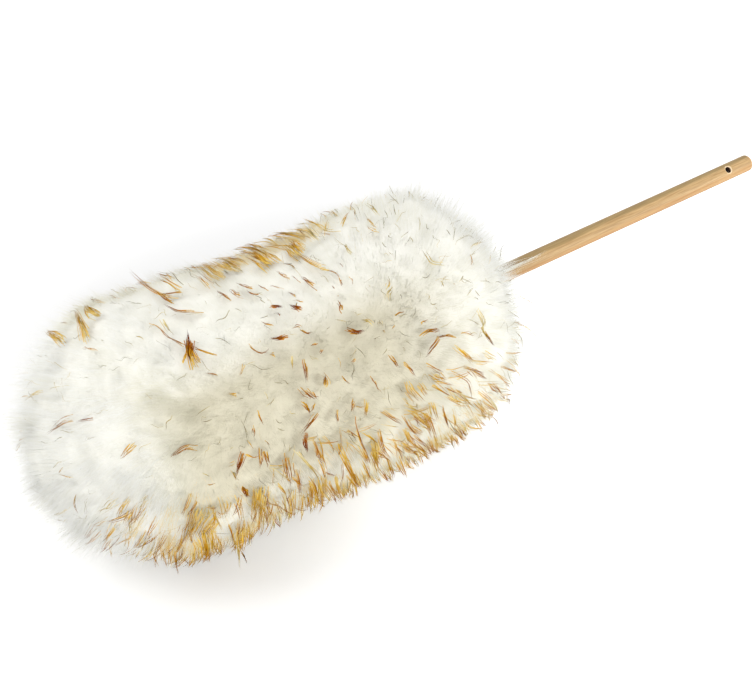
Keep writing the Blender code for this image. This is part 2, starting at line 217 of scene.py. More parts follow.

# The clumps that the photograph shows, marked one by one: x, y, x, y and so on from root to
# tip, in its pixels
SEEN_CLUMPS = {
    "red": [
        (190, 360, 189, 346, 187, 328), (188, 337, 189, 348, 190, 361), (191, 340, 191, 350, 190, 360),
        (344, 330, 355, 333, 367, 331), (242, 486, 245, 492, 248, 498), (305, 431, 305, 443, 308, 456),
        (268, 308, 276, 306, 284, 307), (304, 310, 297, 308, 288, 305), (288, 336, 279, 338, 269, 340),
        (244, 452, 240, 464, 235, 479),
    ],
    "brown": [
        (218, 356, 202, 351, 190, 346), (184, 297, 168, 296, 155, 291, 141, 281, 128, 269),
        (183, 292, 172, 293, 159, 294), (174, 304, 165, 299, 157, 293),
        (205, 312, 190, 311, 178, 311, 169, 307, 162, 303), (318, 289, 309, 282, 299, 276),
        (289, 278, 283, 275, 276, 270), (259, 289, 247, 287, 235, 282), (243, 297, 235, 293, 227, 287),
        (231, 300, 224, 295, 216, 290), (304, 359, 306, 371, 307, 385), (343, 313, 340, 306, 337, 298),
        (300, 387, 308, 395, 318, 401), (299, 401, 306, 408, 312, 415), (319, 412, 310, 423, 300, 437),
        (313, 439, 318, 453, 324, 471), (354, 399, 353, 406, 351, 413), (284, 450, 286, 468, 291, 492),
        (261, 448, 261, 459, 260, 469), (264, 447, 267, 457, 269, 470), (243, 487, 246, 492, 248, 498),
        (337, 406, 337, 416, 338, 425), (378, 429, 380, 440, 384, 451, 391, 460),
        (338, 442, 340, 449, 338, 457), (419, 338, 427, 332, 437, 330, 441, 334),
        (456, 338, 446, 336, 434, 339), (441, 336, 434, 346, 424, 358), (390, 355, 395, 362, 400, 369),
        (403, 361, 410, 368, 417, 377), (480, 325, 486, 335, 495, 347),
        (200, 449, 188, 447, 178, 452, 166, 458), (77, 419, 66, 421, 57, 426, 46, 435),
        (404, 414, 411, 426, 421, 438), (442, 404, 445, 417, 449, 430), (193, 508, 190, 522, 181, 533),
        (190, 531, 184, 539, 176, 547), (324, 388, 325, 381, 326, 373),
    ],
    "fine_brown": [
        (147, 322, 159, 326, 166, 335, 176, 340, 190, 349), (190, 349, 178, 342, 167, 336),
        (355, 411, 355, 425, 360, 440, 366, 453, 371, 466), (215, 284, 204, 276, 191, 266),
        (300, 282, 296, 278, 291, 275), (269, 291, 262, 287, 254, 283), (285, 290, 275, 287, 266, 285),
        (259, 294, 252, 293, 246, 289), (274, 326, 267, 324, 260, 321), (304, 302, 299, 301, 292, 300),
        (296, 297, 293, 294, 288, 292), (300, 329, 307, 333, 314, 332), (304, 328, 298, 325, 291, 328),
        (248, 343, 253, 349, 261, 353, 270, 347), (240, 454, 247, 455, 254, 457, 262, 454),
        (420, 326, 423, 322, 428, 321), (395, 316, 400, 313, 407, 311), (319, 343, 314, 345, 309, 347),
        (323, 347, 321, 351, 318, 355), (340, 374, 345, 381, 352, 385), (371, 376, 376, 384, 382, 395),
        (257, 408, 260, 417, 264, 425), (305, 400, 308, 408, 312, 415), (308, 388, 314, 395, 320, 400),
        (317, 400, 313, 407, 310, 413), (423, 362, 433, 367, 446, 376),
        (446, 371, 458, 376, 468, 382, 471, 392, 471, 402), (432, 382, 445, 383, 455, 386),
        (445, 388, 452, 391, 460, 395), (466, 367, 472, 373, 478, 381), (490, 413, 496, 421, 501, 430),
        (506, 394, 509, 401, 514, 409), (505, 395, 508, 402, 512, 409), (486, 381, 493, 389, 499, 395),
        (458, 333, 467, 333, 476, 335), (514, 322, 530, 330, 544, 345),
        (508, 291, 522, 297, 536, 305, 547, 311), (99, 352, 90, 349, 81, 348),
        (412, 414, 417, 421, 422, 429), (253, 424, 254, 430, 254, 437), (273, 468, 273, 479, 272, 491),
        (356, 357, 354, 361, 351, 365), (470, 254, 472, 261, 471, 268), (340, 277, 341, 282, 342, 288),
        (347, 275, 352, 280, 353, 288), (228, 519, 233, 534, 237, 553), (252, 520, 253, 534, 252, 548),
        (268, 486, 268, 499, 270, 514), (240, 551, 244, 557, 247, 565), (183, 556, 186, 561, 189, 566),
    ],
    "amber": [
        (183, 366, 187, 354, 189, 343), (194, 370, 190, 356, 189, 343), (201, 365, 194, 354, 190, 343),
        (336, 441, 343, 456, 350, 470, 358, 484, 363, 494), (339, 447, 346, 461, 354, 476, 361, 489),
        (363, 446, 367, 455, 370, 466), (361, 460, 366, 470, 372, 483), (397, 454, 403, 467, 408, 481),
        (387, 457, 391, 469, 395, 480), (406, 426, 411, 438, 419, 451), (403, 446, 412, 451, 425, 454),
        (371, 449, 380, 455, 392, 461), (422, 412, 427, 424, 433, 440), (425, 412, 431, 424, 438, 446),
        (324, 478, 330, 488, 342, 506), (306, 476, 314, 488, 321, 509), (324, 483, 322, 495, 325, 507),
        (162, 547, 164, 557, 167, 569), (155, 549, 156, 558, 158, 569), (178, 546, 177, 557, 180, 575),
        (240, 527, 241, 540, 243, 553), (270, 268, 260, 257, 251, 249), (300, 253, 295, 246, 291, 239),
        (436, 374, 441, 378, 447, 382),
    ],
    "golden": [
        (184, 292, 170, 284, 157, 275), (225, 279, 213, 271, 200, 261), (222, 281, 208, 273, 196, 266),
        (212, 291, 203, 281, 190, 272), (241, 268, 230, 263, 219, 257), (236, 272, 224, 268, 212, 264),
        (269, 273, 257, 263, 245, 255), (276, 262, 268, 255, 261, 249), (285, 262, 276, 257, 267, 251),
        (302, 259, 293, 251, 282, 243), (306, 249, 298, 244, 291, 239),
        (334, 270, 322, 268, 312, 263, 300, 255, 287, 247), (325, 389, 326, 381, 320, 374),
        (367, 399, 367, 409, 366, 419), (408, 381, 413, 390, 427, 404), (407, 383, 411, 392, 420, 402),
        (429, 373, 436, 377, 444, 381), (446, 391, 455, 398, 463, 402, 476, 404),
        (417, 382, 423, 389, 429, 397), (430, 401, 434, 409, 438, 420), (452, 345, 464, 355, 475, 364),
        (378, 232, 373, 229, 367, 225), (138, 443, 129, 452, 120, 461), (131, 496, 124, 508, 118, 522),
        (133, 509, 128, 517, 124, 527), (227, 499, 227, 508, 224, 519), (255, 485, 256, 500, 252, 517),
        (261, 486, 258, 500, 253, 514), (264, 500, 262, 514, 259, 531), (293, 490, 293, 507, 293, 524),
        (302, 491, 302, 503, 299, 518), (336, 474, 338, 487, 345, 501), (205, 525, 207, 544, 210, 568),
        (213, 523, 215, 540, 219, 557), (338, 441, 346, 455, 355, 470), (374, 440, 376, 455, 381, 472),
    ],
    "golden_patch": [
        (225, 277, 213, 271, 200, 262), (242, 269, 230, 263, 218, 258), (274, 264, 264, 259, 252, 252),
        (302, 257, 293, 250, 283, 242), (202, 508, 195, 525, 184, 548), (217, 515, 208, 527, 200, 540),
        (200, 530, 205, 545, 208, 563), (262, 485, 260, 504, 258, 524), (241, 522, 241, 538, 241, 556),
        (320, 474, 322, 487, 324, 502), (374, 440, 376, 454, 378, 468),
    ],
    "straw_patch": [
        (86, 342, 82, 328, 74, 309), (64, 345, 56, 337, 46, 331), (100, 318, 91, 312, 84, 305),
    ],
    "straw": [
        (46, 392, 35, 395, 22, 401), (121, 499, 110, 506, 97, 515), (148, 493, 141, 501, 135, 509),
        (235, 529, 238, 546, 240, 574), (150, 535, 144, 543, 139, 551), (133, 517, 131, 524, 131, 534),
        (284, 489, 285, 504, 286, 522), (460, 423, 465, 430, 470, 437), (464, 424, 466, 430, 469, 437),
        (480, 408, 483, 415, 488, 421), (482, 353, 490, 357, 499, 361), (390, 302, 389, 293, 396, 286),
        (386, 290, 389, 285, 388, 279), (352, 254, 348, 248, 343, 241), (321, 240, 313, 233, 308, 226),
        (319, 241, 312, 235, 306, 229), (340, 230, 331, 230, 320, 228), (381, 216, 374, 208, 366, 202),
        (444, 263, 433, 262, 427, 255, 422, 246), (405, 402, 412, 407, 421, 413),
        (476, 308, 482, 318, 484, 328), (486, 320, 483, 330, 490, 341),
        (291, 444, 300, 453, 308, 463, 317, 474, 325, 487), (375, 327, 369, 321, 361, 320),
        (292, 355, 292, 362, 293, 370), (160, 317, 165, 326, 172, 336),
    ],
    "grey": [
        (189, 290, 176, 277, 165, 266), (231, 307, 226, 315, 219, 321, 210, 323),
        (207, 344, 213, 339, 222, 339, 231, 345, 240, 351),
        (247, 365, 254, 365, 262, 370, 273, 367, 286, 367), (268, 380, 277, 382, 283, 383, 289, 380),
        (154, 339, 162, 344, 171, 349), (263, 389, 267, 397, 272, 403),
        (280, 390, 275, 398, 271, 404, 270, 411), (243, 312, 237, 309, 230, 308),
        (270, 315, 263, 318, 256, 317), (268, 306, 261, 299, 256, 294), (393, 219, 391, 212, 388, 204),
        (388, 219, 385, 212, 384, 206), (397, 219, 395, 212, 393, 203), (400, 206, 394, 199, 386, 192),
        (357, 214, 352, 208, 347, 203), (440, 243, 436, 238, 431, 234), (346, 431, 351, 438, 356, 446),
        (350, 430, 354, 437, 358, 443), (329, 437, 332, 447, 333, 457), (275, 418, 279, 423, 284, 422),
        (276, 427, 281, 430, 287, 430), (289, 408, 292, 413, 296, 414), (236, 444, 232, 448, 228, 452),
        (174, 412, 168, 421, 162, 434), (211, 405, 203, 410, 194, 417), (213, 420, 207, 422, 200, 423),
        (65, 436, 58, 439, 49, 444), (142, 357, 136, 360, 128, 364), (199, 457, 194, 460, 187, 463),
        (201, 472, 206, 475, 212, 477), (447, 419, 454, 430, 463, 441), (450, 433, 452, 443, 456, 454),
        (486, 381, 480, 388, 473, 393), (494, 351, 500, 356, 505, 362), (399, 331, 404, 335, 412, 337),
        (402, 340, 407, 342, 413, 345), (388, 344, 386, 350, 381, 357), (352, 345, 362, 353, 366, 361),
        (508, 310, 520, 319, 528, 333), (512, 336, 517, 344, 521, 353), (510, 352, 515, 361, 516, 372),
        (506, 368, 511, 380, 513, 392), (514, 330, 521, 338, 523, 349), (498, 262, 502, 249, 506, 238),
        (492, 256, 496, 247, 494, 238), (426, 222, 427, 227, 429, 231), (446, 229, 449, 233, 452, 236),
        (431, 232, 434, 238, 439, 243), (386, 233, 389, 237, 394, 240), (408, 236, 412, 240, 414, 246),
        (411, 234, 408, 241, 404, 246), (382, 242, 385, 246, 390, 249), (480, 262, 484, 267, 487, 274),
        (484, 273, 486, 280, 490, 283), (480, 281, 486, 281, 491, 284), (438, 279, 442, 282, 444, 288),
        (445, 278, 442, 284, 441, 289), (388, 276, 390, 281, 389, 287), (394, 283, 391, 290, 387, 296),
        (422, 277, 426, 277, 431, 274), (475, 290, 478, 293, 481, 297), (473, 297, 477, 298, 480, 301),
        (505, 281, 509, 281, 514, 279), (495, 282, 499, 282, 503, 284), (430, 303, 434, 304, 438, 302),
        (434, 305, 436, 309, 441, 313), (396, 315, 401, 316, 407, 314), (486, 303, 490, 304, 495, 306),
        (505, 294, 509, 295, 513, 293), (509, 300, 513, 303, 518, 304), (387, 390, 389, 401, 393, 413),
        (112, 531, 107, 537, 101, 543),
    ],
}


def noise_waves(seed, count, shortest, longest):
    """Random plane waves, whose sum is a smooth noise of those wavelengths."""
    rng = np.random.default_rng(seed)
    directions = rng.normal(size=(count, 3))
    directions /= np.linalg.norm(directions, axis=1)[:, None]
    lengths = rng.uniform(shortest, longest, count)
    return directions * (math.tau / lengths)[:, None], rng.uniform(0, math.tau, count)


def smooth_noise(points, waves):
    """A value of about -1 to 1 at each point."""
    vectors, phases = waves
    return np.sin(points @ vectors.T + phases).sum(1) / math.sqrt(2 * len(phases))


BILLOWS = noise_waves(3, 20, 0.045, 0.110)
TUFTS = noise_waves(4, 28, 0.014, 0.030)
SWEEPS = [noise_waves(seed, 14, 0.05, 0.13) for seed in (5, 6, 7)]
SWIRLS = [noise_waves(seed, 16, 0.018, 0.040) for seed in (15, 16, 17)]
THICKETS = noise_waves(8, 20, 0.03, 0.08)
LOBES = noise_waves(9, 18, 0.022, 0.050)


def unit(vectors):
    return vectors / np.maximum(np.linalg.norm(vectors, axis=-1, keepdims=True), 1e-12)


def smoothstep(low, high, value):
    share = np.clip((value - low) / (high - low), 0.0, 1.0)
    return share * share * (3 - 2 * share)


def bell(value, middle, spread):
    return np.exp(-(((value - middle) / spread) ** 2))


def angle_round_axis(points):
    return np.arctan2(points[:, 2] - AXIS_HEIGHT, points[:, 1])


def rest_on_floor(points):
    """Squeezes what would lie near or under the floor into a thin layer above it."""
    z = points[..., 2]
    squeezed = FLOOR_SOFTNESS * np.exp(np.minimum(z / FLOOR_SOFTNESS - 1, 0))
    points[..., 2] = np.where(z < FLOOR_SOFTNESS, squeezed, z)
    return points


def clear_of_core(points):
    """Keeps fibres out of the hide and the dowel."""
    x = points[..., 0]
    out = np.hypot(points[..., 1], points[..., 2] - AXIS_HEIGHT)
    least = np.where(x > BORE_STEP_X, DOWEL_BORE_RADIUS, HIDE_BORE_RADIUS) + FIBRE_CLEARANCE
    least = np.where(x < BORE_END_X, 0.0, least)
    push = np.maximum(least / np.maximum(out, 1e-6), 1.0)
    points[..., 1] *= push
    points[..., 2] = AXIS_HEIGHT + (points[..., 2] - AXIS_HEIGHT) * push
    return points


def crest(points):
    """How far a place belongs to the golden crest along the top, from 0 to 1."""
    x = points[:, 0]
    length = smoothstep(*CREST_START, x) * smoothstep(*CREST_END, x)
    return length * bell(angle_round_axis(points), CREST_ANGLE, CREST_SPREAD)


class Head:
    """The surface where the nap ends, found by the share of its area and the angle round it.

    Angle 0 looks along +Y and a quarter turn looks up.
    """

    def __init__(self):
        quarter = np.linspace(0.0, math.pi / 2, OUTLINE_STEPS)
        tip_shoulder = TIP_X + TIP_DOME_LENGTH
        neck_shoulder = NECK_X - NECK_DOME_LENGTH
        tip_x = tip_shoulder - TIP_DOME_LENGTH * np.cos(quarter) ** (2 / TIP_DOME_POWER)
        tip_share = np.sin(quarter) ** (2 / TIP_DOME_POWER)
        neck_x = neck_shoulder + NECK_DOME_LENGTH * np.cos(quarter[::-1]) ** (2 / NECK_DOME_POWER)
        neck_share = np.sin(quarter[::-1]) ** (2 / NECK_DOME_POWER)
        barrel_x = np.linspace(tip_shoulder, neck_shoulder, OUTLINE_STEPS)[1:-1]
        x = np.concatenate([tip_x, barrel_x, neck_x])
        share = np.concatenate([tip_share, np.ones(len(barrel_x)), neck_share])
        full = np.interp(x, [tip_shoulder, neck_shoulder], [RADIUS_AT_TIP, RADIUS_AT_NECK])
        full = full + SWELLING * bell(x, SWELLING_X, SWELLING_SPREAD)
        radius = share * full
        centre = AXIS_HEIGHT - SAG * smoothstep(NECK_X, NECK_X - 0.04, x)
        centre += (SAG + TIP_LIFT) * smoothstep(-0.19, TIP_X, x)
        lengths = np.hypot(np.diff(x), np.diff(radius))
        rings = (radius[1:] + radius[:-1]) / 2
        area = np.concatenate([[0.0], np.cumsum(math.tau * rings * lengths)])
        along = unit(np.column_stack([np.gradient(x), np.gradient(radius)]))
        self.share = area / area[-1]
        self.length_share = np.concatenate([[0.0], np.cumsum(lengths)]) / lengths.sum()
        self.rows = np.column_stack([x, radius, centre, -along[:, 1], along[:, 0]])

    def place(self, share, angle, by=None):
        """Points on the surface and its outward normals."""
        scale = self.share if by is None else by
        x, radius, centre, normal_x, normal_out = (
            np.interp(share, scale, row) for row in self.rows.T
        )
        to_tip = 0.75 * smoothstep(-0.09, -0.19, x) + 0.25 * smoothstep(-0.22, -0.29, x)
        radius = radius * (1 - TUCK * to_tip * np.clip(np.cos(angle - TUCK_ANGLE), 0, 1))
        cos, sin = np.cos(angle), np.sin(angle)
        points = np.column_stack([x, radius * cos, centre + radius * sin])
        normals = np.column_stack([normal_x, normal_out * cos, normal_out * sin])
        bumps = BILLOW_HEIGHT * smooth_noise(points, BILLOWS)
        bumps += TUFT_HEIGHT * smooth_noise(points, TUFTS)
        bumps -= CREST_DENT * crest(points)
        return points + normals * bumps[:, None], normals


def camera_axes():
    """The camera's right, up and forward directions."""
    flat = math.cos(CAMERA_DIP)
    forward = np.array(
        [math.sin(CAMERA_TURN) * flat, math.cos(CAMERA_TURN) * flat, -math.sin(CAMERA_DIP)]
    )
    right = np.array([math.cos(CAMERA_TURN), -math.sin(CAMERA_TURN), 0.0])
    return right, np.cross(right, forward), forward


def to_pixels(points):
    right, up, forward = camera_axes()
    seen = points - EYE
    scale = PIXELS_PER_SLOPE / (seen @ forward)
    x = IMAGE_WIDTH / 2 + scale * (seen @ right)
    y = IMAGE_HEIGHT / 2 - scale * (seen @ up)
    return np.column_stack([x, y])


def pixel_rays(pixels):
    right, up, forward = camera_axes()
    x = (pixels[:, 0] - IMAGE_WIDTH / 2) / PIXELS_PER_SLOPE
    y = (IMAGE_HEIGHT / 2 - pixels[:, 1]) / PIXELS_PER_SLOPE
    return unit(forward + x[:, None] * right + y[:, None] * up)


def place_tree(places):
    tree = kdtree.KDTree(len(places))
    for index, place in enumerate(places):
        tree.insert(place, index)
    tree.balance()
    return tree


class SeenSide:
    """The side of the head that the camera sees, found by pixel."""

    def __init__(self, head):
        shares = np.linspace(0.002, 0.998, GRID_ALONG)
        angles = np.linspace(0, math.tau, GRID_ROUND, endpoint=False)
        share, angle = np.meshgrid(shares, angles, indexing="ij")
        points, normals = head.place(share.ravel(), angle.ravel(), head.length_share)
        seen = ((EYE - points) * normals).sum(1) > 0
        self.points, self.normals = points[seen], normals[seen]
        self.tree = place_tree([(x, y, 0) for x, y in to_pixels(self.points)])

    def at(self, pixels, lift):
        """Points on a line's pixels, raised off the wool by lift, and the normals there.

        Where the wool falls away steeply behind the line, its tip stands off the wool.
        """
        found = [self.tree.find((x, y, 0))[1] for x, y in pixels]
        near, normals = self.points[found], self.normals[found]
        rays = pixel_rays(pixels)
        apart = near - EYE
        slope = (rays * normals).sum(1)
        by_plane = (apart * normals).sum(1) / np.minimum(slope, -LEAST_SLOPE)
        by_depth = (apart * rays).sum(1)
        distance = np.where(slope < -LEAST_SLOPE, by_plane, by_depth)
        steps = np.linalg.norm(np.diff(pixels, axis=0), axis=1)
        run = np.concatenate([[0.0], np.cumsum(steps)]) / PIXELS_PER_SLOPE
        distance = np.minimum(distance, distance[0] * (1 + MOST_SLANT * run)) - lift
        return EYE + rays * distance[:, None], normals


def smooth_line(marks, count):
    """Points spaced along a smooth line through a few marks."""
    line = np.vstack([2 * marks[0] - marks[1], marks, 2 * marks[-1] - marks[-2]])
    place = np.linspace(0, len(marks) - 1, count)
    start = np.minimum(place.astype(int), len(marks) - 2)
    t = (place - start)[:, None]
    a, b, c, d = (line[start + shift] for shift in range(4))
    bend = 2 * a - 5 * b + 4 * c - d
    twist = -a + 3 * b - 3 * c + d
    return (2 * b + (c - a) * t + bend * t**2 + twist * t**3) / 2


def ribbon_mesh(name, paths, facing, widths, tints):
    """One mesh of tapering ribbons.

    paths has the points of each fibre from root to tip, facing the way its flat side looks and
    is shaded, widths its width along it, and tints its place on the UV map's u axis.
    """
    count, knots = paths.shape[:2]
    along = unit(np.gradient(paths, axis=1))
    side = np.cross(unit(paths[:, -1] - paths[:, 0]), facing)[:, None]
    side = unit(side - (side * along).sum(-1, keepdims=True) * along)
    half = side * (widths / 2)[..., None]
    left = paths[:, :-1] - half[:, :-1]
    right = paths[:, :-1] + half[:, :-1]
    rows = np.stack([left, right], axis=2).reshape(count, -1, 3)
    vertices = np.concatenate([rows, paths[:, -1:]], axis=1)
    per_fibre = vertices.shape[1]

    steps = np.arange(knots - 2)
    quads = np.column_stack([2 * steps, 2 * steps + 1, 2 * steps + 3, 2 * steps + 2]).ravel()
    tip = np.array([per_fibre - 3, per_fibre - 2, per_fibre - 1])
    corners = np.concatenate([quads, tip])
    offsets = np.arange(count)[:, None] * per_fibre
    loops = (corners + offsets).ravel()
    sizes = np.tile(np.append(np.full(knots - 2, 4), 3), count)

    mesh = bpy.data.meshes.new(name)
    mesh.vertices.add(count * per_fibre)
    mesh.vertices.foreach_set("co", vertices.astype(np.float32).ravel())
    mesh.loops.add(len(loops))
    mesh.loops.foreach_set("vertex_index", loops.astype(np.int32))
    mesh.polygons.add(len(sizes))
    starts = np.concatenate([[0], np.cumsum(sizes)[:-1]])
    mesh.polygons.foreach_set("loop_start", starts.astype(np.int32))
    mesh.polygons.foreach_set("use_smooth", np.ones(len(sizes), bool))

    along_fibre = np.append(np.repeat(np.linspace(0, 1, knots)[:-1], 2), 1.0)
    v = along_fibre * (1 - 2 * MAP_MARGIN) + MAP_MARGIN
    sideways = np.append(np.tile([-0.5, 0.5], knots - 1), 0.0)
    u = (tints * (1 - 2 * TINT_BAND) + TINT_BAND)[:, None] + TINT_BAND * sideways
    uv = np.stack([u, np.broadcast_to(v, u.shape)], axis=-1)
    uv = uv[:, corners].reshape(-1, 2)
    layer = mesh.uv_layers.new(name="OFBake")
    layer.data.foreach_set("uv", uv.astype(np.float32).ravel())
    mesh.update(calc_edges=True)
    mesh.validate()
    shading = mesh.attributes.new("custom_normal", "FLOAT_VECTOR", "POINT")
    looks = np.repeat(facing, per_fibre, axis=0)
    shading.data.foreach_set("vector", looks.astype(np.float32).ravel())
    return mesh


def taper(count, knots, width, rng):
    """Widths along each fibre: full for its first half, then down to a point."""
    t = np.linspace(0, 1, knots)
    shape = np.clip(1.25 - 1.1 * t**2, 0.15, 1.0)
    return width * rng.uniform(0.7, 1.3, count)[:, None] * shape


def add_object(name, data):
    made = bpy.data.objects.new(name, data)
    bpy.context.scene.collection.objects.link(made)
    return made


def add_piece(name, mesh, material):
    piece = add_object(name, mesh)
    mesh.materials.append(material)
    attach(piece, "root")
    return piece


def new_material(name):
    material = bpy.data.materials.new(name)
    material.use_nodes = True
    return material, material.node_tree, material.node_tree.nodes["Principled BSDF"]


def set_input(tree, node, name, value):
    """Sets an input to a value, or links it to a socket."""
    if isinstance(value, bpy.types.NodeSocket):
        tree.links.new(value, node.inputs[name])
    else:
        node.inputs[name].default_value = value


def set_surface(tree, shader, colour, roughness, specular, sheen=0.0):
    """Colour and gloss. The colour and the roughness may vary over the surface."""
    set_input(tree, shader, "Base Color", colour)
    set_input(tree, shader, "Roughness", roughness)
    set_input(tree, shader, "Specular IOR Level", specular)
    set_input(tree, shader, "Sheen Weight", sheen)


def ramp_node(tree, stops, source):
    """A colour for each place along source. A stop is a place and a colour or a grey."""
    node = tree.nodes.new("ShaderNodeValToRGB")
    elements = node.color_ramp.elements
    for _ in stops[2:]:
        elements.new(0.5)
    for element, (place, colour) in zip(elements, stops):
        element.position = place
        grey = isinstance(colour, (int, float))
        element.color = (colour, colour, colour, 1.0) if grey else (*colour, 1.0)
    tree.links.new(source, node.inputs["Fac"])
    return node.outputs["Color"]


def two_tones(tree, source, dark, light):
    """A noise between two colours."""
    return ramp_node(tree, [(0.3, dark), (0.7, light)], source)


def mix_node(tree, kind, factor, first, second):
    """A colour mix. factor is a number or a socket."""
    node = tree.nodes.new("ShaderNodeMix")
    node.data_type = "RGBA"
    node.blend_type = kind
    set_input(tree, node, 0, factor)
    set_input(tree, node, 6, first)
    set_input(tree, node, 7, second)
    return node.outputs[2]


def range_node(tree, source, low, high):
    """0 where source is at low, 1 where it is at high."""
    node = tree.nodes.new("ShaderNodeMapRange")
    node.interpolation_type = "SMOOTHSTEP"
    node.inputs["From Min"].default_value = low
    node.inputs["From Max"].default_value = high
    tree.links.new(source, node.inputs["Value"])
    return node.outputs["Result"]


def levels_node(tree, source, low, high):
    """low where source is 0, high where it is 1. Each is a number or a socket."""
    node = tree.nodes.new("ShaderNodeMapRange")
    set_input(tree, node, "Value", source)
    set_input(tree, node, "To Min", low)
    set_input(tree, node, "To Max", high)
    return node.outputs["Result"]


def vector_node(tree, operation, source, vector=(0.0, 0.0, 0.0)):
    """A vector, or a number from an operation that gives one."""
    node = tree.nodes.new("ShaderNodeVectorMath")
    node.operation = operation
    tree.links.new(source, node.inputs[0])
    node.inputs[1].default_value = vector
    return node.outputs["Value" if operation in ("DOT_PRODUCT", "LENGTH") else "Vector"]


def math_node(tree, operation, *values):
    node = tree.nodes.new("ShaderNodeMath")
    node.operation = operation
    for index, value in enumerate(values):
        set_input(tree, node, index, value)
    return node.outputs["Value"]


def seen_share(tree):
    """1 for rays that the camera, a gloss or a glass sends out, and 0 for the light's own."""
    rays = tree.nodes.new("ShaderNodeLightPath").outputs
    seen = math_node(tree, "MAXIMUM", rays["Is Camera Ray"], rays["Is Glossy Ray"])
    return math_node(tree, "MAXIMUM", seen, rays["Is Transmission Ray"])


def noise_node(tree, source, scale, detail, distortion=0.0):
    node = tree.nodes.new("ShaderNodeTexNoise")
    node.inputs["Scale"].default_value = scale
    node.inputs["Detail"].default_value = detail
    node.inputs["Distortion"].default_value = distortion
    tree.links.new(source, node.inputs["Vector"])
    return node.outputs["Fac"]


def add_bump(tree, shader, height, strength, distance):
    bump = tree.nodes.new("ShaderNodeBump")
    bump.inputs["Strength"].default_value = strength
    bump.inputs["Distance"].default_value = distance
    tree.links.new(height, bump.inputs["Height"])
    tree.links.new(bump.outputs["Normal"], shader.inputs["Normal"])


def object_place(tree):
    return tree.nodes.new("ShaderNodeTexCoord").outputs["Object"]


def axes_of(tree, source):
    """The X, Y and Z of a vector."""
    split = tree.nodes.new("ShaderNodeSeparateXYZ")
    tree.links.new(source, split.inputs["Vector"])
    return split.outputs


def fibre_coordinates(tree):
    """The u and v of the fibre map."""
    uv_map = tree.nodes.new("ShaderNodeUVMap")
    uv_map.uv_map = "OFBake"
    axes = axes_of(tree, uv_map.outputs["UV"])
    return axes["X"], axes["Y"]


def nap_material():
    """Cream fibres: u runs from cool white over the beige of painted shade to golden, and roots get a
    little painted shade.
    """
    material, tree, shader = new_material("cream_fibre")
    u, v = fibre_coordinates(tree)
    tint = ramp_node(
        tree,
        [
            (0.0, (0.905, 0.91, 0.885)),
            # The beige stops give the nap's painted shade.
            (0.25, (0.745, 0.725, 0.585)),
            (0.6, (0.48, 0.448, 0.325)),
            (0.8, (0.84, 0.70, 0.37)),
            (1.0, (0.71, 0.45, 0.06)),
        ],
        u,
    )
    # Painted shade: roots, deep in the nap, are a little darker.
    depth = ramp_node(tree, [(0.0, (0.95, 0.94, 0.90)), (0.7, 1.0)], v)
    colour = mix_node(tree, "MULTIPLY", 1.0, tint, depth)
    set_surface(tree, shader, colour, roughness=0.75, specular=0.25, sheen=0.15)
    return material


def guard_material():
    """Guard hairs: u runs from grey over straw, golden and brown to red, each darker at its tip."""
    material, tree, shader = new_material("amber_tipped_fibre")
    u, v = fibre_coordinates(tree)
    tints = [
        (0.05, [(0.0, (0.50, 0.46, 0.32)), (0.4, (0.23, 0.19, 0.10)), (1.0, (0.11, 0.085, 0.04))]),
        (0.28, [(0.0, (0.78, 0.70, 0.45)), (0.5, (0.52, 0.40, 0.12)), (1.0, (0.22, 0.145, 0.03))]),
        (0.50, [(0.0, (0.81, 0.61, 0.17)), (0.5, (0.60, 0.35, 0.025)), (1.0, (0.24, 0.10, 0.004))]),
        (0.64, [(0.0, (0.75, 0.50, 0.08)), (0.5, (0.52, 0.235, 0.003)), (1.0, (0.22, 0.08, 0.002))]),
        (0.78, [(0.0, (0.64, 0.40, 0.07)), (0.35, (0.34, 0.13, 0.002)), (1.0, (0.13, 0.038, 0.001))]),
        (0.95, [(0.0, (0.52, 0.22, 0.03)), (0.4, (0.23, 0.040, 0.001)), (1.0, (0.08, 0.014, 0.001))]),
    ]
    colour = ramp_node(tree, tints[0][1], v)
    for (before, _), (place, stops) in zip(tints, tints[1:]):
        share = range_node(tree, u, before, place)
        colour = mix_node(tree, "MIX", share, colour, ramp_node(tree, stops, v))
    set_surface(tree, shader, colour, roughness=0.7, specular=0.05)
    return material


def body_material():
    """The dense under-wool between the fibres: white, with painted shade in beige along each side, as
    on the nap.
    """
    material, tree, shader = new_material("under_wool")
    place = object_place(tree)
    fluff = noise_node(tree, place, 70, 6, 1.2)
    beige = two_tones(tree, fluff, (0.60, 0.56, 0.43), (0.66, 0.62, 0.485))
    white = two_tones(tree, fluff, (0.82, 0.81, 0.74), (0.87, 0.86, 0.80))
    axes = axes_of(tree, place)
    # Painted shade: beige along each side, as on the nap.
    shade_band = range_node(tree, axes["X"], -0.272, -0.225)
    limits = [("X", -0.01, -0.10), ("Z", 0.160, 0.140), ("Z", 0.056, 0.090)]
    for axis, none, full in limits:
        shade_band = math_node(tree, "MULTIPLY", shade_band, range_node(tree, axes[axis], none, full))
    colour = mix_node(tree, "MIX", shade_band, white, beige)
    add_bump(tree, shader, noise_node(tree, place, 900, 4), 0.5, 0.001)
    set_surface(tree, shader, colour, roughness=0.9, specular=0.1, sheen=0.3)
    return material


